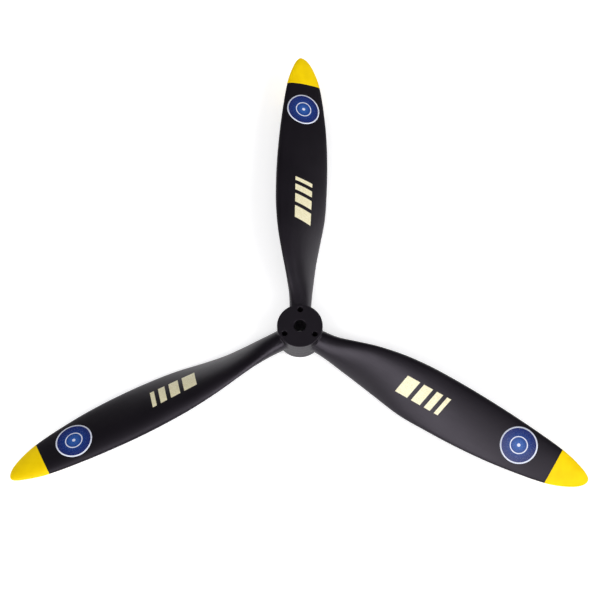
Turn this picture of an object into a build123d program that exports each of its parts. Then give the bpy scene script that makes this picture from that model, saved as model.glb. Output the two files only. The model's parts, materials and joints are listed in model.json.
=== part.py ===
from build123d import *

import math
import os

# A three-bladed wooden propeller, glued up from boards and carved.
# Millimetres. Z runs forward along the shaft from the hub's rear face, and blade 1 points along +Y.
# Seen from the front, the propeller turns counter-clockwise.

# Hub
HUB_RADIUS = 18.4
HUB_HEIGHT = 24.0
RIM_EASE = 0.4
BORE_RADIUS = 5.0
BOLT_CIRCLE_RADIUS = 14.0
BOLT_HOLE_RADIUS = 2.25

# Blades
TIP_RADIUS = 254.0
BLADE_COUNT = 3
FIRST_BLADE_ANGLE = 90.0
ROOT_RADIUS = 12.0
LAST_SECTION_RADIUS = 253.8
SECTION_COUNT = 26
POINTS_PER_SIDE = 9

# Boards: layers counted from the rear face. Their mitres pass the shaft axis on alternate sides.
BOARD_THICKNESS = 5.2
BOARD_LAYERS = 6
MITRE_SHIFT = 4.6

# Decals on the front faces of the blades. The roundels are placed by hand: each blade's one has its own radius
# from the shaft, and its own distance from the middle of the chord towards the leading edge.
FILM = 0.25
FILM_REACH = 26.0
FILM_SECTIONS = 7
ROUNDEL_RADIUS = 14.4
ROUNDEL_PLACES = ((200.9, 0.8), (199.0, 0.0), (195.9, 1.8))
STRIPE_WIDTHS = (11.0, 8.0, 5.5, 3.5)
STRIPE_GAP = 3.5
STRIPE_SLANT = 3.5
STRIPE_LOW = -7.0
STRIPE_HIGH = 9.0
STRIPES_PLACE = 113.0

# Blade sections. Sweep moves the middle of the chord towards the leading edge, height lifts it forward,
# and front share is how much of the thickness lies in front of the chord.
STATION_NAMES = ("radius", "chord", "pitch_angle", "thickness", "sweep", "height", "front_share")
STATIONS = (
    (ROOT_RADIUS, 17.9, 37.0, 16.0, 0.0, 12.1, 0.50),
    (30.0, 21.5, 40.0, 14.0, 0.0, 13.3, 0.50),
    (45.0, 29.0, 42.5, 11.5, 0.8, 14.3, 0.58),
    (60.0, 36.0, 42.0, 10.0, 1.7, 15.2, 0.68),
    (80.0, 42.2, 36.0, 9.4, 2.0, 16.2, 0.80),
    (102.0, 46.6, 29.4, 8.8, 1.4, 17.1, 0.85),
    (127.0, 46.7, 22.8, 8.0, 1.1, 18.4, 0.85),
    (152.0, 45.3, 18.4, 7.0, 0.8, 19.4, 0.85),
    (178.0, 42.0, 15.6, 5.9, 0.6, 20.6, 0.85),
    (203.0, 36.6, 14.0, 4.8, 0.8, 21.7, 0.85),
    (229.0, 28.1, 14.0, 3.5, 1.3, 22.9, 0.85),
    (244.0, 17.8, 15.0, 2.5, 2.0, 23.8, 0.80),
    (TIP_RADIUS, 0.0, 15.0, 0.8, 3.8, 24.2, 0.70),
)


def even_steps(first, last, count):
    """Evenly spaced numbers from first to last."""
    return [first + (last - first) * n / (count - 1) for n in range(count)]


def span_angle(radius):
    """The angle whose sine is radius over tip radius. Equal steps of it crowd sections towards the tip."""
    return math.asin(min(1.0, radius / TIP_RADIUS))


STATION_ANGLES = [span_angle(station[0]) for station in STATIONS]


def station_slope(column, index):
    """Slope of one column at a station: the weighted mean of the slopes on its two sides."""
    slopes = []
    widths = []
    for near, far in ((index - 1, index), (index, index + 1)):
        if near >= 0 and far < len(STATIONS):
            width = STATION_ANGLES[far] - STATION_ANGLES[near]
            slopes.append((STATIONS[far][column] - STATIONS[near][column]) / width)
            widths.append(width)
    if len(slopes) == 1:
        return slopes[0]
    return (slopes[0] * widths[1] + slopes[1] * widths[0]) / (widths[0] + widths[1])


def blade_values(radius):
    """Every station value at a radius, by cubic curves through the stations."""
    angle = span_angle(radius)
    index = 0
    while index < len(STATIONS) - 2 and angle > STATION_ANGLES[index + 1]:
        index += 1
    width = STATION_ANGLES[index + 1] - STATION_ANGLES[index]
    t = (angle - STATION_ANGLES[index]) / width
    values = {}
    for column, name in enumerate(STATION_NAMES):
        start = STATIONS[index][column]
        end = STATIONS[index + 1][column]
        start_slope = station_slope(column, index) * width
        end_slope = station_slope(column, index + 1) * width
        values[name] = (
            (2 * t**3 - 3 * t**2 + 1) * start
            + (t**3 - 2 * t**2 + t) * start_slope
            + (3 * t**2 - 2 * t**3) * end
            + (t**3 - t**2) * end_slope
        )
    return values


def side_curve(radius, values, depth):
    """One side of a blade section, from the leading edge to the trailing edge.

    depth is the side's distance from the chord, negative on the rear side.
    """
    nose_bias = values["front_share"] - 0.5
    crest_cosine = 2 * nose_bias / (1 + math.sqrt(1 + 8 * nose_bias**2))
    crest = math.sqrt(1 - crest_cosine**2) * (1 + nose_bias * crest_cosine)
    slope = math.radians(values["pitch_angle"])
    points = []
    for angle in even_steps(0.0, math.pi, POINTS_PER_SIDE):
        along = 0.5 * values["chord"] * math.cos(angle)
        out = depth * math.sin(angle) * (1 + nose_bias * math.cos(angle)) / crest
        across = values["sweep"] + along * math.cos(slope) - out * math.sin(slope)
        up = values["height"] + along * math.sin(slope) + out * math.cos(slope)
        points.append(Vector(radius, across, up))
    return Spline(*points)


def section_face(radius, proud=0.0):
    """The blade section at a radius, with its front side lifted by proud."""
    values = blade_values(radius)
    front = side_curve(radius, values, values["front_share"] * values["thickness"] + proud)
    rear = side_curve(radius, values, (values["front_share"] - 1) * values["thickness"])
    return Face(Wire([front, rear]))


def blade_loft(radii, proud=0.0):
    """The blade along +X between the first and last radius, with its leading edge on the +Y side."""
    return loft([section_face(radius, proud) for radius in radii])


def section_radii():
    """Radii at even steps of the span angle, from inside the hub out to the tip."""
    angles = even_steps(span_angle(ROOT_RADIUS), span_angle(LAST_SECTION_RADIUS), SECTION_COUNT)
    return [TIP_RADIUS * math.sin(angle) for angle in angles]


def carved_blank(blade):
    """The turned hub with eased rims and one blade in one, as carved from the glued boards."""
    hub = Pos(0, 0, HUB_HEIGHT / 2) * Rot(0, 0, 180) * Cylinder(HUB_RADIUS, HUB_HEIGHT)
    rims = hub.edges().filter_by(GeomType.CIRCLE)
    return fillet(rims, RIM_EASE) + blade


def drilled(solid):
    """The solid with the shaft bore and one bolt hole on the blade's own axis."""
    depth = 3 * HUB_HEIGHT
    bore = Cylinder(BORE_RADIUS, depth)
    bolt_hole = Pos(BOLT_CIRCLE_RADIUS, 0, 0) * Cylinder(BOLT_HOLE_RADIUS, depth)
    return solid - bore - bolt_hole


def mitre_wedge(layer):
    """The third of a layer that one blade's board takes up, with the point of its mitre beside the axis."""
    shift = MITRE_SHIFT if layer % 2 == 0 else -MITRE_SHIFT
    reach = 2.5 * TIP_RADIUS
    half_angle = math.radians(180 / BLADE_COUNT)
    far_x = reach * math.cos(half_angle)
    far_y = reach * math.sin(half_angle)
    outline = Polyline((0, shift), (far_x, shift - far_y), (far_x, shift + far_y), close=True)
    bottom = layer * BOARD_THICKNESS
    return Pos(0, 0, bottom) * extrude(make_face(outline), BOARD_THICKNESS)


def boards(blade):
    """The boards of one blade, from the rear layer to the front layer."""
    blank = drilled(carved_blank(blade))
    return [blank & mitre_wedge(layer) for layer in range(BOARD_LAYERS)]


def film_on_blade(blade, outline_face, place):
    """A thin film on the blade's front face. The outline is drawn flat, around the point on the radius."""
    values = blade_values(place)
    skin = blade_loft(even_steps(place - FILM_REACH, place + FILM_REACH, FILM_SECTIONS), FILM)
    stamp = Pos(0, 0, values["thickness"] / 4) * extrude(outline_face, values["thickness"])
    tilt = Rot(values["pitch_angle"], 0, 0)
    stamp = Pos(place, values["sweep"], values["height"]) * tilt * stamp
    return (skin & stamp) - blade


def roundel(blade, place, shift):
    """The round decal near the tip, moved towards the leading edge by shift."""
    outline = Pos(0, shift) * make_face(Circle(ROUNDEL_RADIUS).edges())
    return film_on_blade(blade, outline, place)


def stripe_decal(blade):
    """Slanted stripes at mid-blade, each narrower than the one before it."""
    length = sum(STRIPE_WIDTHS) + STRIPE_GAP * (len(STRIPE_WIDTHS) - 1) + STRIPE_SLANT
    left = -length / 2
    films = []
    for width in STRIPE_WIDTHS:
        right = left + width
        corners = (
            (left, STRIPE_LOW),
            (right, STRIPE_LOW),
            (right + STRIPE_SLANT, STRIPE_HIGH),
            (left + STRIPE_SLANT, STRIPE_HIGH),
        )
        films.append(film_on_blade(blade, make_face(Polyline(*corners, close=True)), STRIPES_PLACE))
        left = right + STRIPE_GAP
    return Compound(children=[solid for film in films for solid in film.solids()])


def write_node(n, node_suffix, shape):
    """The STEP file of one piece of blade n, turned from +X to that blade's place."""
    angle = FIRST_BLADE_ANGLE + n * 360 / BLADE_COUNT
    export_step(Rot(0, 0, angle) * shape, f"parts/blade_{n + 1}_{node_suffix}.step")


os.makedirs("parts", exist_ok=True)
blade = blade_loft(section_radii())
blade_boards = boards(blade)
stripes = stripe_decal(blade)
for n in range(BLADE_COUNT):
    for layer, board in enumerate(blade_boards):
        write_node(n, f"board_{layer + 1}", board)
    place, shift = ROUNDEL_PLACES[n]
    write_node(n, "roundel", roundel(blade, place, shift))
    write_node(n, "stripes", stripes)
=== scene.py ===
import json
import math

import bmesh
import bpy
import numpy as np
from mathutils import Matrix, Vector
from mathutils.geometry import delaunay_2d_cdt


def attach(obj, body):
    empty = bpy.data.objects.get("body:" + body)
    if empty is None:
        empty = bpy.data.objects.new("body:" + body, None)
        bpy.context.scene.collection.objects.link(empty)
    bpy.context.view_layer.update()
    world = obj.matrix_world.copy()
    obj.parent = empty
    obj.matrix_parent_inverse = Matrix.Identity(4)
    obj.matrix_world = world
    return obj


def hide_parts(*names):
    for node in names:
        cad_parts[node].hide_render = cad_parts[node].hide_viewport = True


# The finish of a three-bladed wooden propeller: the carved boards under their satin black lacquer, the
# yellow tip paint and the printed films. Points are worked out in millimetres, in a blade's own frame: X runs
# out along the blade, Y towards its leading edge and Z forward along the shaft. A mesh holds them in metres,
# in the row's frame.

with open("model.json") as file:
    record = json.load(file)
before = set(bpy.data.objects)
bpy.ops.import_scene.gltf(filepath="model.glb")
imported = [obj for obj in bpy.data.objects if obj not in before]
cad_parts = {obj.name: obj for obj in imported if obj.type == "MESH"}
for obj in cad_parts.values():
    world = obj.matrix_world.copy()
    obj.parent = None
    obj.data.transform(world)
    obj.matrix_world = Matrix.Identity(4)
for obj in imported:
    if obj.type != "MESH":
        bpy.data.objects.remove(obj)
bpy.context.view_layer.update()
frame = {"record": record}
MM = 0.001
MOUNTS = {mount["name"]: mount["dims"] for mount in frame["record"]["mounts"]}

# Hub. A ring round the bore divides its faces. The ring stays inside half the bolt circle's radius, so that
# straight lines from a bolt hole reach all of the face round it.
HUB_RADIUS = 18.4
HUB_HEIGHT = MOUNTS["center_bore"]["length_mm"]
RIM_EASE = 0.4
BORE_RADIUS = MOUNTS["center_bore"]["r_mm"]
BOLT_CIRCLE_RADIUS = MOUNTS["bolt_circle"]["pcd_mm"] / 2
BOLT_HOLE_RADIUS = MOUNTS["bolt_circle"]["hole_r_mm"]
LIP_EASE = 0.35
FACE_RING_RADIUS = 6.4

# Blades
BLADE_COUNT = MOUNTS["bolt_circle"]["count"]
FIRST_BLADE_ANGLE = 90.0
TIP_RADIUS = 254.0
TIP_ROUNDING = 0.5
ROOT_RADIUS = 12.0
ROOT_END = 24.0
SIDE_FILLET = 1.4
FACE_FILLET = 1.1

# Boards
BOARD_THICKNESS = 5.2
BOARD_LAYERS = 6
MITRE_SHIFT = 4.6

# Coats and films. The paint's edge is a profile: distance along the blade, and height as a share of the coat.
# A roundel's bands run from its middle outwards, each with its outer radius and its print.
PAINT_START = 226.4
PAINT_COAT = 0.08
PAINT_EDGE = ((0.0, -1.0), (0.0, 0.4), (0.08, 0.85), (0.25, 1.0))
FILM_LIFT = 0.07
FILM_DEPTH = 0.15
ROUNDEL_RADIUS = 14.4
ROUNDEL_PLACES = ((200.9, 0.8), (199.0, 0.0), (195.9, 1.8))
BLUE_PRINT = 0
WHITE_PRINT = 1
ROUNDEL_BANDS = (
    (1.3, WHITE_PRINT),
    (6.1, BLUE_PRINT),
    (6.9, WHITE_PRINT),
    (13.3, BLUE_PRINT),
    (ROUNDEL_RADIUS, WHITE_PRINT),
)
STRIPE_WIDTHS = (11.0, 8.0, 5.5, 3.5)
STRIPE_GAP = 3.5
STRIPE_SLANT = 3.5
STRIPE_LOW = -7.0
STRIPE_HIGH = 9.0
STRIPES_PLACE = 113.0

# Mesh steps. Wall rows are shares of the way from the edge of the hub's wall to the fillet.
SECTOR_STEPS = 30
WALL_STEPS = 18
WALL_ROWS = (0.0, 0.3, 0.6, 0.85)
SPOKE_STEPS = 6
RING_STEPS = 2 * (SECTOR_STEPS + WALL_STEPS)
FILLET_STEPS = 6
ROOT_STEPS = 4
SPAN_STEPS = 110
EASE_STEPS = 5
PAINT_STEPS = 48
STRIPE_STEPS = 12
BAND_STEP = 2.4

# How finely curves are searched or looked up, and the distances at which points count as one: in metres, and
# in millimetres on a flat cut
HALVINGS = 30
JUNCTION_POINTS = 145
FRONT_POINTS = 241
SAME_POINT = 1e-6
ON_PLANE = 1e-8
SAME_FLAT_POINT = 1e-7

# The kind of result that asks the flat triangulation for the triangles inside its edges
INNER_TRIANGLES = 1

# Materials of a board, by index
LACQUER = 0
BARE_WOOD = 1

# Stage and camera, in metres, with the lens in millimetres
FLOOR_SIZE = 30.0
CAMERA_PLACE = (0.00636, -0.37395, 0.95057)
CAMERA_VIEW = (-0.00664, 0.39314, -0.91946)
CAMERA_UP = (-0.01793, 0.91928, 0.39319)
LENS = 74.69

# Softboxes: name, azimuth and elevation seen from the hub, distance, width and height, and brightness
SOFTBOXES = (
    ("left_softbox", -139.0, 38.0, 3.0, (1.8, 2.2), 4.6),
    ("right_softbox", -22.0, 34.0, 3.0, (2.3, 2.2), 4.6),
    ("front_softbox", -85.0, 60.0, 3.4, (2.6, 2.2), 1.25),
)

# The room: dim at the sides, brighter overhead, and a pale backdrop for the camera. Overhead starts where a
# direction's height, 1 straight up, passes this number.
OVERHEAD_START = 0.80
ROOM_SIDES = (0.075, 0.073, 0.078, 1.0)
ROOM_OVERHEAD = (0.42, 0.42, 0.43, 1.0)
BACKDROP = (0.85, 0.85, 0.86, 1.0)

# Blade sections, as in the CAD model. Sweep moves the middle of the chord towards the leading edge, height
# lifts it forward, and front share is how much of the thickness lies in front of the chord.
STATION_NAMES = ("radius", "chord", "pitch_angle", "thickness", "sweep", "height", "front_share")
STATIONS = (
    (ROOT_RADIUS, 17.9, 37.0, 16.0, 0.0, 12.1, 0.50),
    (30.0, 21.5, 40.0, 14.0, 0.0, 13.3, 0.50),
    (45.0, 29.0, 42.5, 11.5, 0.8, 14.3, 0.58),
    (60.0, 36.0, 42.0, 10.0, 1.7, 15.2, 0.68),
    (80.0, 42.2, 36.0, 9.4, 2.0, 16.2, 0.80),
    (102.0, 46.6, 29.4, 8.8, 1.4, 17.1, 0.85),
    (127.0, 46.7, 22.8, 8.0, 1.1, 18.4, 0.85),
    (152.0, 45.3, 18.4, 7.0, 0.8, 19.4, 0.85),
    (178.0, 42.0, 15.6, 5.9, 0.6, 20.6, 0.85),
    (203.0, 36.6, 14.0, 4.8, 0.8, 21.7, 0.85),
    (229.0, 28.1, 14.0, 3.5, 1.3, 22.9, 0.85),
    (244.0, 17.8, 15.0, 2.5, 2.0, 23.8, 0.80),
    (TIP_RADIUS, 0.0, 15.0, 0.8, 3.8, 24.2, 0.70),
)


# ---------------------------------------------------------------- the blade's surface


def span_angle(radius):
    """The angle whose sine is radius over tip radius. Equal steps of it crowd sections towards the tip."""
    return math.asin(min(1.0, radius / TIP_RADIUS))


STATION_ANGLES = [span_angle(station[0]) for station in STATIONS]


def station_slope(column, index):
    """Slope of one column at a station: the weighted mean of the slopes on its two sides."""
    slopes = []
    widths = []
    for near, far in ((index - 1, index), (index, index + 1)):
        if near >= 0 and far < len(STATIONS):
            width = STATION_ANGLES[far] - STATION_ANGLES[near]
            slopes.append((STATIONS[far][column] - STATIONS[near][column]) / width)
            widths.append(width)
    if len(slopes) == 1:
        return slopes[0]
    return (slopes[0] * widths[1] + slopes[1] * widths[0]) / (widths[0] + widths[1])


def blade_values(angle):
    """Every station value at a span angle, by cubic curves through the stations."""
    index = 0
    while index < len(STATIONS) - 2 and angle > STATION_ANGLES[index + 1]:
        index += 1
    width = STATION_ANGLES[index + 1] - STATION_ANGLES[index]
    t = (angle - STATION_ANGLES[index]) / width
    values = {}
    for column, name in enumerate(STATION_NAMES):
        start = STATIONS[index][column]
        end = STATIONS[index + 1][column]
        start_slope = station_slope(column, index) * width
        end_slope = station_slope(column, index + 1) * width
        values[name] = (
            (2 * t**3 - 3 * t**2 + 1) * start
            + (t**3 - 2 * t**2 + t) * start_slope
            + (3 * t**2 - 2 * t**3) * end
            + (t**3 - t**2) * end_slope
        )
    radius = TIP_RADIUS * math.sin(angle)
    rounding = max(0.0, 1 - (TIP_RADIUS - radius) / TIP_ROUNDING)
    values["thickness"] *= math.sqrt(1 - rounding**2)
    values["radius"] = radius
    return values


def section(angle, turns):
    """Points of the blade's section at a span angle. A turn of 0 is the leading edge, pi the trailing edge,
    and between them lies the front side."""
    values = blade_values(angle)
    nose_bias = values["front_share"] - 0.5
    crest_cosine = 2 * nose_bias / (1 + math.sqrt(1 + 8 * nose_bias**2))
    crest = math.sqrt(1 - crest_cosine**2) * (1 + nose_bias * crest_cosine)
    turns = np.asarray(turns, float)
    bulge = values["thickness"] * np.sin(turns) * (1 + nose_bias * np.cos(turns)) / crest
    out = np.where(bulge > 0, values["front_share"], 1 - values["front_share"]) * bulge
    along = 0.5 * values["chord"] * np.cos(turns)
    slope = math.radians(values["pitch_angle"])
    across = values["sweep"] + along * math.cos(slope) - out * math.sin(slope)
    up = values["height"] + along * math.sin(slope) + out * math.cos(slope)
    return np.stack([np.full(len(turns), values["radius"]), across, up], axis=1)


def section_normals(angle, turns):
    """Outward directions of the blade's surface at a section's points."""
    step = 1e-4
    turns = np.asarray(turns, float)
    inner = min(angle, math.pi / 2 - step)
    along_span = section(inner + step, turns) - section(inner - step, turns)
    round_section = section(inner, turns + step) - section(inner, turns - step)
    normals = np.cross(round_section, along_span)
    return normals / np.linalg.norm(normals, axis=1, keepdims=True)


def lifted(angle, turns, lift):
    """The section's points, moved off the surface by lift."""
    return section(angle, turns) + lift * section_normals(angle, turns)


def hub_wall_angles(turns):
    """The span angles at which the blade's lines at these turns run into the hub's wall."""
    found = []
    for turn in turns:
        low = span_angle(ROOT_RADIUS)
        high = span_angle(HUB_RADIUS)
        for _ in range(HALVINGS):
            middle = (low + high) / 2
            x, y, _z = section(middle, [turn])[0]
            if math.hypot(x, y) < HUB_RADIUS:
                low = middle
            else:
                high = middle
        found.append((low + high) / 2)
    return np.array(found)


# ---------------------------------------------------------------- the whole propeller as one closed surface


def on_wall(unrolled):
    """Points on the hub's wall from places on it unrolled: distance round the hub, and height."""
    turn = unrolled[:, 0] / HUB_RADIUS
    return np.stack([HUB_RADIUS * np.cos(turn), HUB_RADIUS * np.sin(turn), unrolled[:, 1]], axis=1)


def unroll(points):
    """Distance round the hub and height of points on its wall."""
    return np.stack([HUB_RADIUS * np.arctan2(points[:, 1], points[:, 0]), points[:, 2]], axis=1)


def wall_outline():
    """The edge of one blade's third of the hub's wall, unrolled, counter-clockwise from its lower corner on
    the leading side."""
    half = HUB_RADIUS * math.pi / BLADE_COUNT
    low = RIM_EASE
    high = HUB_HEIGHT - RIM_EASE
    corners = ((half, low), (half, high), (-half, high), (-half, low))
    steps = (WALL_STEPS, SECTOR_STEPS, WALL_STEPS, SECTOR_STEPS)
    points = []
    for n, count in enumerate(steps):
        start = np.array(corners[n])
        end = np.array(corners[(n + 1) % len(corners)])
        points += [start + (end - start) * k / count for k in range(count)]
    return np.array(points)


def root_turns(outline):
    """The turn of the blade's line that faces each point of the wall's outline."""
    turns = np.linspace(-math.pi, math.pi, JUNCTION_POINTS)
    points = [section(a, [t])[0] for a, t in zip(hub_wall_angles(turns), turns)]
    junction = unroll(np.array(points))
    middle = junction.mean(axis=0)
    bearings = np.unwrap(np.arctan2(junction[:, 1] - middle[1], junction[:, 0] - middle[0]))
    wanted = np.unwrap(np.arctan2(outline[:, 1] - middle[1], outline[:, 0] - middle[0]))
    full = 2 * math.pi
    laps = np.floor((wanted - bearings[0]) / full)
    return np.interp(wanted - laps * full, bearings, turns) + laps * full


def even_turns(turns):
    """Evenly spaced turns nearest to the given ones, with one on each edge of the blade."""
    step = 2 * math.pi / RING_STEPS
    first = round(float(np.mean(turns - step * np.arange(RING_STEPS))) / step)
    return step * (first + np.arange(RING_STEPS))


def smooth_step(value):
    """0 below 0, 1 above 1, and a smooth rise between."""
    value = min(1.0, max(0.0, value))
    return value * value * (3 - 2 * value)


def root_rows(outline, turns):
    """Rows of points from the wall's outline over the wall and the fillet to the end of the root."""
    wall_angles = hub_wall_angles(turns)
    corner = np.array([section(a, [t])[0] for a, t in zip(wall_angles, turns)])
    flat = unroll(corner)
    tangent = np.roll(flat, -1, axis=0) - np.roll(flat, 1, axis=0)
    outward = np.stack([tangent[:, 1], -tangent[:, 0]], axis=1)
    outward /= np.linalg.norm(outward, axis=1, keepdims=True)
    fillet = SIDE_FILLET * outward[:, 0] ** 2 + FACE_FILLET * outward[:, 1] ** 2
    foot = flat + outward * fillet[:, None]
    rows = [on_wall(outline + (foot - outline) * share) for share in WALL_ROWS]
    reach_angles = np.array([span_angle(TIP_RADIUS * math.sin(a) + f) for a, f in zip(wall_angles, fillet)])
    reach = np.array([section(a, [t])[0] for a, t in zip(reach_angles, turns)])
    foot = on_wall(foot)
    for k in range(FILLET_STEPS + 1):
        t = k / FILLET_STEPS
        rows.append((1 - t) ** 2 * foot + 2 * t * (1 - t) * corner + t**2 * reach)
    root_end = span_angle(ROOT_END)
    for k in range(1, ROOT_STEPS + 1):
        angles = reach_angles + (root_end - reach_angles) * k / ROOT_STEPS
        rows.append(np.array([section(a, [t])[0] for a, t in zip(angles, turns)]))
    return rows


def blade_grid():
    """One blade with its third of the hub's wall, from the wall's outline to the tip."""
    outline = wall_outline()
    near_turns = root_turns(outline)
    far_turns = even_turns(near_turns)
    rows = root_rows(outline, near_turns)
    first = span_angle(ROOT_END)
    for k in range(1, SPAN_STEPS + 1):
        angle = first + (math.pi / 2 - first) * k / SPAN_STEPS
        share = smooth_step((TIP_RADIUS * math.sin(angle) - ROOT_END) / ROOT_END)
        rows.append(section(angle, near_turns + (far_turns - near_turns) * share))
    rows[-1] = np.repeat(rows[-1].mean(axis=0)[None], RING_STEPS, axis=0)
    return np.array(rows)


def arc_ring(radius, height):
    """Points on a third of a circle about the shaft, at a height."""
    turns = np.linspace(-math.pi / BLADE_COUNT, math.pi / BLADE_COUNT, SECTOR_STEPS + 1)
    return np.stack([radius * np.cos(turns), radius * np.sin(turns), np.full(len(turns), height)], axis=1)


def eased(radius, ease, height, sign):
    """Radius and height along a quarter round from a face to a wall. Sign is 1 on a rim, -1 on a lip."""
    steps = [math.pi / 2 * k / EASE_STEPS for k in range(EASE_STEPS + 1)]
    inward = 1 if height > 0 else -1
    return [
        (radius - sign * ease * (1 - math.sin(step)), height - inward * ease * (1 - math.cos(step)))
        for step in steps
    ]


def rim_grids():
    """The hub's two eased outer edges."""
    grids = []
    for height in (HUB_HEIGHT, 0.0):
        profile = eased(HUB_RADIUS, RIM_EASE, height, 1)
        grids.append(np.array([arc_ring(radius, level) for radius, level in profile]))
    return grids


def hole_profile(radius):
    """Radius and height down a hole, from lip to lip."""
    front = eased(radius, LIP_EASE, HUB_HEIGHT, -1)
    rear = eased(radius, LIP_EASE, 0.0, -1)
    return front + rear[::-1]


def bore_grid():
    """A third of the shaft bore with the ring of the face round each end of it."""
    profile = [(FACE_RING_RADIUS, HUB_HEIGHT), *hole_profile(BORE_RADIUS), (FACE_RING_RADIUS, 0.0)]
    return np.array([arc_ring(radius, height) for radius, height in profile])


def face_outline(height):
    """The edge of the part of a hub face that has one bolt hole in it, counter-clockwise."""
    outer = arc_ring(HUB_RADIUS - RIM_EASE, height)
    inner = arc_ring(FACE_RING_RADIUS, height)[::-1]
    shares = np.arange(1, SPOKE_STEPS)[:, None] / SPOKE_STEPS
    inward = outer[-1] + (inner[0] - outer[-1]) * shares
    outward = inner[-1] + (outer[0] - inner[-1]) * shares
    return np.concatenate([outer, inward, inner, outward])


def bolt_hole_grid():
    """One bolt hole with the faces round its two ends."""
    outline = face_outline(0.0)
    bearings = np.arctan2(outline[:, 1], outline[:, 0] - BOLT_CIRCLE_RADIUS)
    spread = np.stack([np.cos(bearings), np.sin(bearings), np.zeros(len(bearings))], axis=1)
    middle = np.array([BOLT_CIRCLE_RADIUS, 0.0, 0.0])
    rings = [middle + radius * spread + [0, 0, height] for radius, height in hole_profile(BOLT_HOLE_RADIUS)]
    return np.array([face_outline(HUB_HEIGHT)] + rings + [face_outline(0.0)])


def add_grid(shape, grid, closed):
    """Adds a grid of points to a mesh as faces. A closed grid joins its last column to its first."""
    rows = [[shape.verts.new(Vector(point) * MM) for point in row] for row in grid]
    columns = len(rows[0])
    for near, far in zip(rows, rows[1:]):
        for k in range(columns if closed else columns - 1):
            after = (k + 1) % columns
            shape.faces.new((near[k], near[after], far[after], far[k]))


def weld(shape):
    """Joins points that coincide, and turns every face outwards."""
    bmesh.ops.remove_doubles(shape, verts=shape.verts, dist=SAME_POINT)
    bmesh.ops.recalc_face_normals(shape, faces=shape.faces)


def blade_turn(blade):
    """The rotation from a blade's own frame to the row's frame."""
    angle = FIRST_BLADE_ANGLE + blade * 360 / BLADE_COUNT
    return Matrix.Rotation(math.radians(angle), 4, "Z")


def carved_surface():
    """The whole propeller as one closed mesh, lying as blade 1 lies in its own frame."""
    shape = bmesh.new()
    grids = [(blade_grid(), True), (bolt_hole_grid(), True), (bore_grid(), False)]
    grids += [(grid, False) for grid in rim_grids()]
    for n in range(BLADE_COUNT):
        turn = np.array(Matrix.Rotation(2 * math.pi * n / BLADE_COUNT, 3, "Z"))
        for grid, closed in grids:
            add_grid(shape, grid @ turn.T, closed)
    weld(shape)
    return shape


# ---------------------------------------------------------------- boards


def remember_normals(shape):
    """Keeps each point's normal, weighted by its faces' areas, so that cuts don't change the shading."""
    layer = shape.verts.layers.float_vector.new("surface_normal")
    for face in shape.faces:
        weighted = face.normal * face.calc_area()
        for vert in face.verts:
            vert[layer] += weighted
    for vert in shape.verts:
        vert[layer] = vert[layer].normalized()


def is_inside(point, starts, ends):
    """Whether a flat point lies inside closed outlines, holes left out, given their edges' ends."""
    level = (starts[:, 1] > point[1]) != (ends[:, 1] > point[1])
    near = starts[level]
    far = ends[level]
    crossing = near[:, 0] + (point[1] - near[:, 1]) * (far[:, 0] - near[:, 0]) / (far[:, 1] - near[:, 1])
    return np.count_nonzero(crossing > point[0]) % 2 == 1


def close_cut(shape, rim, outward):
    """Closes a flat cut with triangles of bare wood between its rim's edges. Holes stay open."""
    corners = list(dict.fromkeys(vert for edge in rim for vert in edge.verts))
    place = {vert: n for n, vert in enumerate(corners)}
    across = outward.orthogonal().normalized()
    up = outward.cross(across)
    flat = [Vector((vert.co.dot(across), vert.co.dot(up))) / MM for vert in corners]
    edges = [[place[vert] for vert in edge.verts] for edge in rim]
    starts, ends = np.array([[flat[n] for n in edge] for edge in edges]).transpose(1, 0, 2)
    filled = delaunay_2d_cdt(flat, edges, [], INNER_TRIANGLES, SAME_FLAT_POINT)
    points, _, triangles, sources, _, _ = filled
    for triangle in triangles:
        if is_inside(sum((points[n] for n in triangle), Vector((0, 0))) / 3, starts, ends):
            made = shape.faces.new([corners[sources[n][0]] for n in triangle])
            made.material_index = BARE_WOOD
            made.smooth = False


def cut(shape, point, outward):
    """Cuts a closed mesh with a plane, keeps its inner side and closes it with flat faces."""
    everything = list(shape.verts) + list(shape.edges) + list(shape.faces)
    made = bmesh.ops.bisect_plane(
        shape, geom=everything, plane_co=Vector(point) * MM, plane_no=outward, clear_outer=True, dist=ON_PLANE
    )
    rim = [part for part in made["geom_cut"] if isinstance(part, bmesh.types.BMEdge)]
    if rim:
        close_cut(shape, rim, Vector(outward))


def board(surface, layer):
    """One blade's board in a layer, cut out of the carved surface."""
    shape = surface.copy()
    half_angle = math.pi / BLADE_COUNT
    apex = (0.0, MITRE_SHIFT if layer % 2 == 0 else -MITRE_SHIFT, 0.0)
    for side in (1, -1):
        cut(shape, apex, (-math.sin(half_angle), side * math.cos(half_angle), 0.0))
    if layer > 0:
        cut(shape, (0, 0, layer * BOARD_THICKNESS), (0, 0, -1))
    if layer < BOARD_LAYERS - 1:
        cut(shape, (0, 0, (layer + 1) * BOARD_THICKNESS), (0, 0, 1))
    return shape


def loop_normals(mesh):
    """The remembered normals for the carved faces, and the faces' own for the glued ones."""
    kept = np.zeros(len(mesh.vertices) * 3, np.float32)
    mesh.attributes["surface_normal"].data.foreach_get("vector", kept)
    kept = kept.reshape(-1, 3)
    normals = []
    for face in mesh.polygons:
        for vertex in face.vertices:
            carved = Vector(kept[vertex])
            use_face = face.material_index == BARE_WOOD or carved.length < 0.5
            normals.append(face.normal if use_face else carved.normalized())
    return normals


def mesh_from(shape, name, turn):
    """A mesh from a closed shape, turned into the row's frame."""
    mesh = bpy.data.meshes.new(name)
    shape.to_mesh(mesh)
    if "surface_normal" in mesh.attributes:
        normals = loop_normals(mesh)
        mesh.attributes.remove(mesh.attributes["surface_normal"])
        mesh.normals_split_custom_set(normals)
    mesh.transform(turn)
    return mesh


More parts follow.
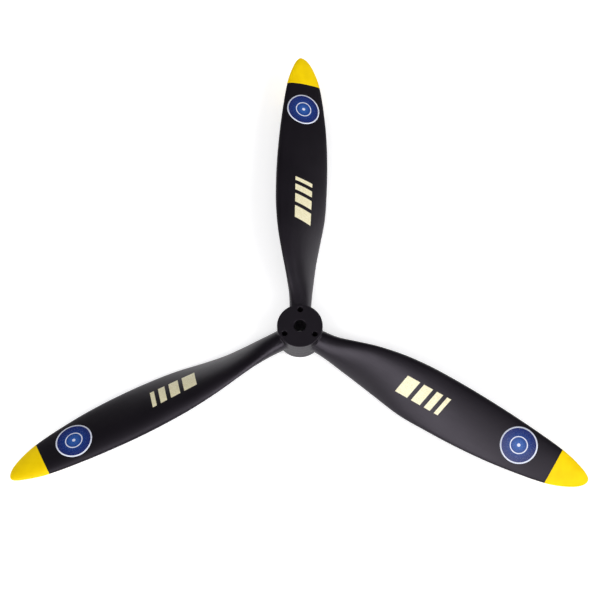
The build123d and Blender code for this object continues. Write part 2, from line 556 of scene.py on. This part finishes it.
def add_piece(name, mesh, materials, slot, *nodes):
    """A piece of the propeller that rides with it and stands for its CAD nodes."""
    piece = bpy.data.objects.new(name, mesh)
    bpy.context.scene.collection.objects.link(piece)
    for material in materials:
        mesh.materials.append(material)
    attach(piece, "root")
    if nodes:
        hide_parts(*nodes)


def add_boards(surface, lacquers, wood):
    """Every board, as its own closed piece in place of its CAD node."""
    remember_normals(surface)
    for face in surface.faces:
        face.material_index = LACQUER
        face.smooth = True
    for layer in range(BOARD_LAYERS):
        shape = board(surface, layer)
        for blade in range(BLADE_COUNT):
            name = f"blade_{blade + 1}_layer_{layer + 1}"
            mesh = mesh_from(shape, name, blade_turn(blade))
            node = f"blade_{blade + 1}_board_{layer + 1}"
            add_piece(name, mesh, (lacquers[blade], wood), "lacquered_wood", node)
        shape.free()


# ---------------------------------------------------------------- tip paint


def tip_paint_shape():
    """The coat over a blade's tip as one closed shape, with a rounded edge where the masking tape was."""
    turns = 2 * math.pi * np.arange(RING_STEPS) / RING_STEPS
    start = span_angle(PAINT_START)
    rows = [lifted(span_angle(PAINT_START + along), turns, share * PAINT_COAT) for along, share in PAINT_EDGE]
    first = span_angle(PAINT_START + PAINT_EDGE[-1][0])
    for k in range(1, PAINT_STEPS + 1):
        rows.append(lifted(first + (math.pi / 2 - first) * k / PAINT_STEPS, turns, PAINT_COAT))
    pole = section(math.pi / 2, [0.0])[0] + np.array([PAINT_COAT, 0.0, 0.0])
    rows[-1] = np.repeat(pole[None], RING_STEPS, axis=0)
    half = RING_STEPS // 2
    inner = lifted(start, turns, -PAINT_COAT)
    front = inner[: half + 1]
    rear = np.concatenate([inner[:1], inner[: half - 1 : -1]])
    shape = bmesh.new()
    add_grid(shape, np.array(rows), True)
    add_grid(shape, np.array([front, rear]), False)
    weld(shape)
    for face in shape.faces:
        face.smooth = True
    return shape


# ---------------------------------------------------------------- printed films


def on_front(place, along, across, lift):
    """The point of the front face under a point of a flat drawing, which lies round a place on the blade."""
    middle = blade_values(span_angle(place))
    slope = math.radians(middle["pitch_angle"])
    turns = np.linspace(0.0, math.pi, FRONT_POINTS)
    angle = span_angle(place + along)
    points = section(angle, turns)
    sideways = points[:, 1] - middle["sweep"]
    upwards = points[:, 2] - middle["height"]
    reach = sideways * math.cos(slope) + upwards * math.sin(slope)
    turn = np.interp(-across, -reach, turns)
    return lifted(angle, [turn], lift)[0]


def film_rows(place, rows):
    """Rows of points of a film's printed side, and of its underside, which is sunk in the lacquer."""
    return [
        [[on_front(place, along, across, lift) for along, across in row] for row in rows]
        for lift in (FILM_LIFT, FILM_LIFT - FILM_DEPTH)
    ]


def roundel_shape(place, shift):
    """The round film, moved towards the leading edge by shift."""
    bearings = 2 * math.pi * np.arange(RING_STEPS) / RING_STEPS
    radii = [0.0]
    prints = []
    for outer, band_print in ROUNDEL_BANDS:
        inner = radii[-1]
        count = math.ceil((outer - inner) / BAND_STEP)
        radii += [inner + (outer - inner) * k / count for k in range(1, count + 1)]
        prints += [band_print] * count
    rings = [[(radius * math.cos(b), radius * math.sin(b) + shift) for b in bearings] for radius in radii]
    top, under = film_rows(place, rings)
    prints += [prints[-1]] * len(radii)
    shape = bmesh.new()
    spread = shape.verts.layers.float.new("print_radius")
    made = [[shape.verts.new(Vector(point) * MM) for point in row] for row in top + under[::-1]]
    for row, radius in zip(made, radii + radii[::-1]):
        for vert in row:
            vert[spread] = radius / ROUNDEL_RADIUS
    for near, far, band_print in zip(made, made[1:], prints):
        for k in range(RING_STEPS):
            after = (k + 1) % RING_STEPS
            face = shape.faces.new((near[k], near[after], far[after], far[k]))
            face.material_index = band_print
            face.smooth = True
    weld(shape)
    return shape


def patch(shape, corners):
    """Adds one four-sided film to a shape. Its corners are two along the blade, and then the two across from
    them, in the same order."""
    first, second, far_first, far_second = (np.array(corner) for corner in corners)
    rows = []
    for k in range(STRIPE_STEPS + 1):
        start = first + (far_first - first) * k / STRIPE_STEPS
        end = second + (far_second - second) * k / STRIPE_STEPS
        rows.append([start + (end - start) * m / STRIPE_STEPS for m in range(STRIPE_STEPS + 1)])
    top, under = film_rows(STRIPES_PLACE, rows)
    add_grid(shape, np.array(top), False)
    add_grid(shape, np.array(under), False)
    for near, far in ((top[0], under[0]), (top[-1], under[-1])):
        add_grid(shape, np.array([near, far]), False)
    for column in (0, -1):
        add_grid(shape, np.array([[row[column] for row in top], [row[column] for row in under]]), False)


def stripes_shape():
    """The slanted stripes, each narrower than the one before it."""
    shape = bmesh.new()
    length = sum(STRIPE_WIDTHS) + STRIPE_GAP * (len(STRIPE_WIDTHS) - 1) + STRIPE_SLANT
    left = -length / 2
    for width in STRIPE_WIDTHS:
        right = left + width
        low = ((left, STRIPE_LOW), (right, STRIPE_LOW))
        high = ((left + STRIPE_SLANT, STRIPE_HIGH), (right + STRIPE_SLANT, STRIPE_HIGH))
        patch(shape, low + high)
        left = right + STRIPE_GAP
    weld(shape)
    return shape


# ---------------------------------------------------------------- materials


class Nodes:
    """A material's node tree, with short calls to add nodes and link them."""

    def __init__(self, name):
        self.material = bpy.data.materials.new(name)
        self.material.use_nodes = True
        self.tree = self.material.node_tree
        self.shader = self.tree.nodes["Principled BSDF"]

    def add(self, kind, **values):
        """A node with its properties set. A name that isn't a property sets the input of that name."""
        node = self.tree.nodes.new("ShaderNode" + kind)
        for key, value in values.items():
            if hasattr(node, key):
                setattr(node, key, value)
            else:
                node.inputs[key.replace("_", " ").title()].default_value = value
        return node

    def link(self, source, target):
        """Links two sockets."""
        self.tree.links.new(source, target)

    def place(self, turn=0.0, scale=(1.0, 1.0, 1.0)):
        """Coordinates in millimetres, turned about the shaft and then scaled."""
        coordinates = self.add("TexCoord")
        turned = self.add("Mapping")
        turned.inputs["Rotation"].default_value = (0.0, 0.0, turn)
        scaled = self.add("Mapping")
        scaled.inputs["Scale"].default_value = [s / MM for s in scale]
        self.link(coordinates.outputs["Object"], turned.inputs["Vector"])
        self.link(turned.outputs["Vector"], scaled.inputs["Vector"])
        return scaled.outputs["Vector"]

    def noise(self, vector, wavelength, detail=2.0, roughness=0.5):
        """Noise of about the given wavelength, from 0 to 1."""
        node = self.add("TexNoise", scale=1.0 / wavelength, detail=detail, roughness=roughness)
        self.link(vector, node.inputs["Vector"])
        return node.outputs["Fac"]

    def ramp(self, factor, *stops):
        """A colour ramp with the given places and colours."""
        node = self.add("ValToRGB")
        elements = node.color_ramp.elements
        while len(elements) < len(stops):
            elements.new(0.5)
        for element, (position, colour) in zip(elements, stops):
            element.position = position
            element.color = (*colour, 1.0)
        self.link(factor, node.inputs["Fac"])
        return node.outputs["Color"]

    def range(self, value, old, new):
        """A value moved from an old range to a new one, and held inside that."""
        node = self.add("MapRange")
        for name, number in zip(("From Min", "From Max", "To Min", "To Max"), old + new):
            node.inputs[name].default_value = number
        self.link(value, node.inputs["Value"])
        return node.outputs["Result"]

    def math(self, operation, first, second):
        """One sum. The second number may be a socket."""
        node = self.add("Math", operation=operation)
        self.link(first, node.inputs[0])
        if isinstance(second, (int, float)):
            node.inputs[1].default_value = second
        else:
            self.link(second, node.inputs[1])
        return node.outputs["Value"]

    def reach(self, place):
        """Distance from the shaft's axis."""
        flat = self.add("VectorMath", operation="MULTIPLY")
        flat.inputs[1].default_value = (1.0, 1.0, 0.0)
        self.link(place, flat.inputs[0])
        length = self.add("VectorMath", operation="LENGTH")
        self.link(flat.outputs["Vector"], length.inputs[0])
        return length.outputs["Value"]

    def bump(self, height, depth, before=None):
        """A bump of the given depth in millimetres, on top of an earlier one."""
        node = self.add("Bump")
        node.inputs["Distance"].default_value = depth * MM
        node.inputs["Strength"].default_value = 1.0
        self.link(height, node.inputs["Height"])
        if before is not None:
            self.link(before, node.inputs["Normal"])
        return node.outputs["Normal"]

    def finish(self, colour, roughness, normal=None):
        """Links the shader's sockets. An even roughness is set on its own socket."""
        self.link(colour, self.shader.inputs["Base Color"])
        if isinstance(roughness, float):
            self.shader.inputs["Roughness"].default_value = roughness
        else:
            self.link(roughness, self.shader.inputs["Roughness"])
        if normal is not None:
            self.link(normal, self.shader.inputs["Normal"])
        return self.material


def glue_line_relief(nodes, place):
    """Height of the lacquer at the glue lines, which show as shallow grooves round the hub's wall."""
    split = nodes.add("SeparateXYZ")
    nodes.link(place, split.inputs["Vector"])
    from_line = nodes.math("PINGPONG", split.outputs["Z"], BOARD_THICKNESS / 2)
    groove = nodes.range(from_line, (0.0, 0.5), (-1.0, 0.0))
    near_hub = nodes.range(nodes.reach(place), (HUB_RADIUS + 1, HUB_RADIUS + 8), (1.0, 0.0))
    return nodes.math("MULTIPLY", groove, near_hub)


def lacquer_material(blade):
    """Satin black lacquer over one blade's boards. Its grain runs along the blade."""
    nodes = Nodes(f"satin_black_lacquer_{blade + 1}")
    turn = -math.radians(FIRST_BLADE_ANGLE + blade * 360 / BLADE_COUNT)
    place = nodes.place(turn)
    along_grain = nodes.place(turn, (0.025, 1.0, 1.0))
    cloud = nodes.noise(place, wavelength=35.0, detail=3.0)
    peel = nodes.noise(place, wavelength=1.5, roughness=0.45)
    grain = nodes.noise(along_grain, wavelength=0.9, detail=3.0, roughness=0.6)
    colour = nodes.ramp(cloud, (0.3, (0.0027, 0.0019, 0.0032)), (0.7, (0.0040, 0.0029, 0.0047)))
    roughness = nodes.range(nodes.math("MULTIPLY", cloud, grain), (0.1, 0.4), (0.37, 0.45))
    normal = nodes.bump(glue_line_relief(nodes, place), depth=0.15)
    normal = nodes.bump(grain, depth=0.036, before=normal)
    normal = nodes.bump(peel, depth=0.030, before=normal)
    nodes.shader.inputs["Specular Tint"].default_value = (0.93, 0.85, 1.0, 1.0)
    nodes.shader.inputs["Specular IOR Level"].default_value = 0.42
    return nodes.finish(colour, roughness, normal)


def wood_material():
    """Bare beech, on the faces that are glued."""
    nodes = Nodes("beech_glue_face")
    grain = nodes.noise(nodes.place(scale=(0.3, 0.3, 3.0)), wavelength=2.0, detail=4.0, roughness=0.6)
    pores = nodes.noise(nodes.place(), wavelength=0.5)
    colour = nodes.ramp(grain, (0.3, (0.45, 0.27, 0.14)), (0.7, (0.60, 0.39, 0.22)))
    normal = nodes.bump(pores, depth=0.02)
    roughness = nodes.range(grain, (0.3, 0.7), (0.6, 0.75))
    return nodes.finish(colour, roughness, normal)


def paint_material():
    """Yellow tip paint, brushed on a little unevenly."""
    nodes = Nodes("yellow_tip_paint")
    place = nodes.place()
    cloud = nodes.noise(place, wavelength=9.0, detail=3.0)
    peel = nodes.noise(place, wavelength=1.3, roughness=0.45)
    colour = nodes.ramp(cloud, (0.35, (0.88, 0.60, 0.0008)), (0.65, (0.94, 0.66, 0.0012)))
    roughness = nodes.range(cloud, (0.3, 0.7), (0.42, 0.52))
    normal = nodes.bump(peel, depth=0.012)
    nodes.shader.inputs["Specular IOR Level"].default_value = 0.12
    return nodes.finish(colour, roughness, normal)


def print_blue_material():
    """Blue print, lighter towards the middle of the roundel."""
    nodes = Nodes("roundel_blue")
    radius = nodes.add("Attribute", attribute_name="print_radius").outputs["Fac"]
    speckle = nodes.noise(nodes.place(), wavelength=0.8)
    shade = nodes.math("ADD", radius, nodes.range(speckle, (0.3, 0.7), (-0.06, 0.06)))
    light = (0.030, 0.110, 0.40)
    middle = (0.012, 0.040, 0.20)
    dark = (0.012, 0.016, 0.11)
    colour = nodes.ramp(shade, (0.1, light), (0.5, middle), (1.0, dark))
    roughness = nodes.range(speckle, (0.3, 0.7), (0.22, 0.30))
    return nodes.finish(colour, roughness)


def print_white_material():
    """The roundel's pale rings."""
    nodes = Nodes("roundel_white")
    speckle = nodes.noise(nodes.place(), wavelength=0.8)
    colour = nodes.ramp(speckle, (0.3, (0.62, 0.66, 0.80)), (0.7, (0.72, 0.75, 0.86)))
    roughness = nodes.range(speckle, (0.3, 0.7), (0.22, 0.30))
    return nodes.finish(colour, roughness)


def stripe_material():
    """Cream foil of the stripes."""
    nodes = Nodes("stripe_cream")
    speckle = nodes.noise(nodes.place(), wavelength=0.9, detail=3.0, roughness=0.6)
    colour = nodes.ramp(speckle, (0.3, (0.74, 0.66, 0.38)), (0.7, (0.90, 0.86, 0.64)))
    roughness = nodes.range(speckle, (0.3, 0.7), (0.25, 0.38))
    return nodes.finish(colour, roughness)


def floor_material():
    """Plain white card that glows a little of itself, as painted light, except under the hub."""
    nodes = Nodes("white_card_with_painted_glow")
    place = nodes.place()
    nap = nodes.noise(place, wavelength=6.0, detail=3.0)
    colour = nodes.ramp(nap, (0.3, (0.86, 0.86, 0.865)), (0.7, (0.88, 0.88, 0.885)))
    # Painted light: the card's own glow fills the shadows round the propeller and lights its undersides;
    # there is none under the hub, so the bore stays dark.
    painted_floor_glow = nodes.range(nodes.reach(place), (HUB_RADIUS - 1, HUB_RADIUS), (0.0, 0.42))
    nodes.shader.inputs["Emission Color"].default_value = (1.0, 1.0, 1.0, 1.0)
    nodes.link(painted_floor_glow, nodes.shader.inputs["Emission Strength"])
    return nodes.finish(colour, 0.75)


# ---------------------------------------------------------------- stage, light and camera


def add_floor():
    """The floor that the hub's rear face rests on."""
    mesh = bpy.data.meshes.new("floor")
    half = FLOOR_SIZE / 2
    corners = [(-half, -half, 0.0), (half, -half, 0.0), (half, half, 0.0), (-half, half, 0.0)]
    mesh.from_pydata(corners, [], [(0, 1, 2, 3)])
    mesh.materials.append(floor_material())
    floor = bpy.data.objects.new("floor", mesh)
    bpy.context.scene.collection.objects.link(floor)


def add_softbox(name, azimuth, elevation, distance, size, brightness):
    """A soft light in a direction from the hub, aimed at it. Brightness is the radiance of its face."""
    lamp = bpy.data.lights.new(name, "AREA")
    lamp.shape = "RECTANGLE"
    lamp.size, lamp.size_y = size
    lamp.energy = brightness * math.pi * size[0] * size[1]
    turn = math.radians(azimuth)
    rise = math.radians(elevation)
    towards = Vector((math.cos(turn) * math.cos(rise), math.sin(turn) * math.cos(rise), math.sin(rise)))
    softbox = bpy.data.objects.new(name, lamp)
    softbox.location = towards * distance
    softbox.rotation_euler = towards.to_track_quat("Z", "Y").to_euler()
    bpy.context.scene.collection.objects.link(softbox)


def add_world():
    """Light from the room: dim, a little brighter overhead. The camera itself sees a pale backdrop."""
    world = bpy.data.worlds.new("studio")
    bpy.context.scene.world = world
    world.use_nodes = True
    tree = world.node_tree
    coordinates = tree.nodes.new("ShaderNodeTexCoord")
    split = tree.nodes.new("ShaderNodeSeparateXYZ")
    ramp = tree.nodes.new("ShaderNodeValToRGB")
    ramp.color_ramp.elements[0].position = OVERHEAD_START
    ramp.color_ramp.elements[0].color = ROOM_SIDES
    ramp.color_ramp.elements[1].position = 1.0
    ramp.color_ramp.elements[1].color = ROOM_OVERHEAD
    path = tree.nodes.new("ShaderNodeLightPath")
    backdrop = tree.nodes.new("ShaderNodeMix")
    backdrop.data_type = "RGBA"
    backdrop.inputs["B"].default_value = BACKDROP
    tree.links.new(coordinates.outputs["Generated"], split.inputs["Vector"])
    tree.links.new(split.outputs["Z"], ramp.inputs["Fac"])
    tree.links.new(path.outputs["Is Camera Ray"], backdrop.inputs["Factor"])
    tree.links.new(ramp.outputs["Color"], backdrop.inputs["A"])
    tree.links.new(backdrop.outputs["Result"], tree.nodes["Background"].inputs["Color"])


def add_camera():
    """The camera at the photograph's angle."""
    lens = bpy.data.cameras.new("camera")
    lens.sensor_width = 36.0
    lens.lens = LENS
    camera = bpy.data.objects.new("camera", lens)
    back = -Vector(CAMERA_VIEW).normalized()
    right = Vector(CAMERA_UP).cross(back).normalized()
    up = back.cross(right)
    turn = Matrix((right, up, back)).transposed().to_4x4()
    camera.matrix_world = Matrix.Translation(CAMERA_PLACE) @ turn
    bpy.context.scene.collection.objects.link(camera)
    bpy.context.scene.camera = camera


def build():
    """Every piece, then the stage."""
    lacquers = [lacquer_material(blade) for blade in range(BLADE_COUNT)]
    surface = carved_surface()
    add_boards(surface, lacquers, wood_material())
    surface.free()
    paint = paint_material()
    tip = tip_paint_shape()
    stripes = stripes_shape()
    prints = (print_blue_material(), print_white_material())
    cream = stripe_material()
    for blade in range(BLADE_COUNT):
        label = f"blade_{blade + 1}"
        turn = blade_turn(blade)
        add_piece(f"{label}_tip_paint", mesh_from(tip, "tip", turn), (paint,), "lacquered_wood")
        mesh = mesh_from(roundel_shape(*ROUNDEL_PLACES[blade]), "roundel", turn)
        add_piece(f"{label}_roundel_print", mesh, prints, "roundel_film", f"{label}_roundel")
        mesh = mesh_from(stripes, "stripes", turn)
        add_piece(f"{label}_stripe_print", mesh, (cream,), "stripe_film", f"{label}_stripes")
    add_floor()
    add_world()
    for softbox in SOFTBOXES:
        add_softbox(*softbox)
    add_camera()
    bpy.context.scene.view_settings.view_transform = "Standard"


build()
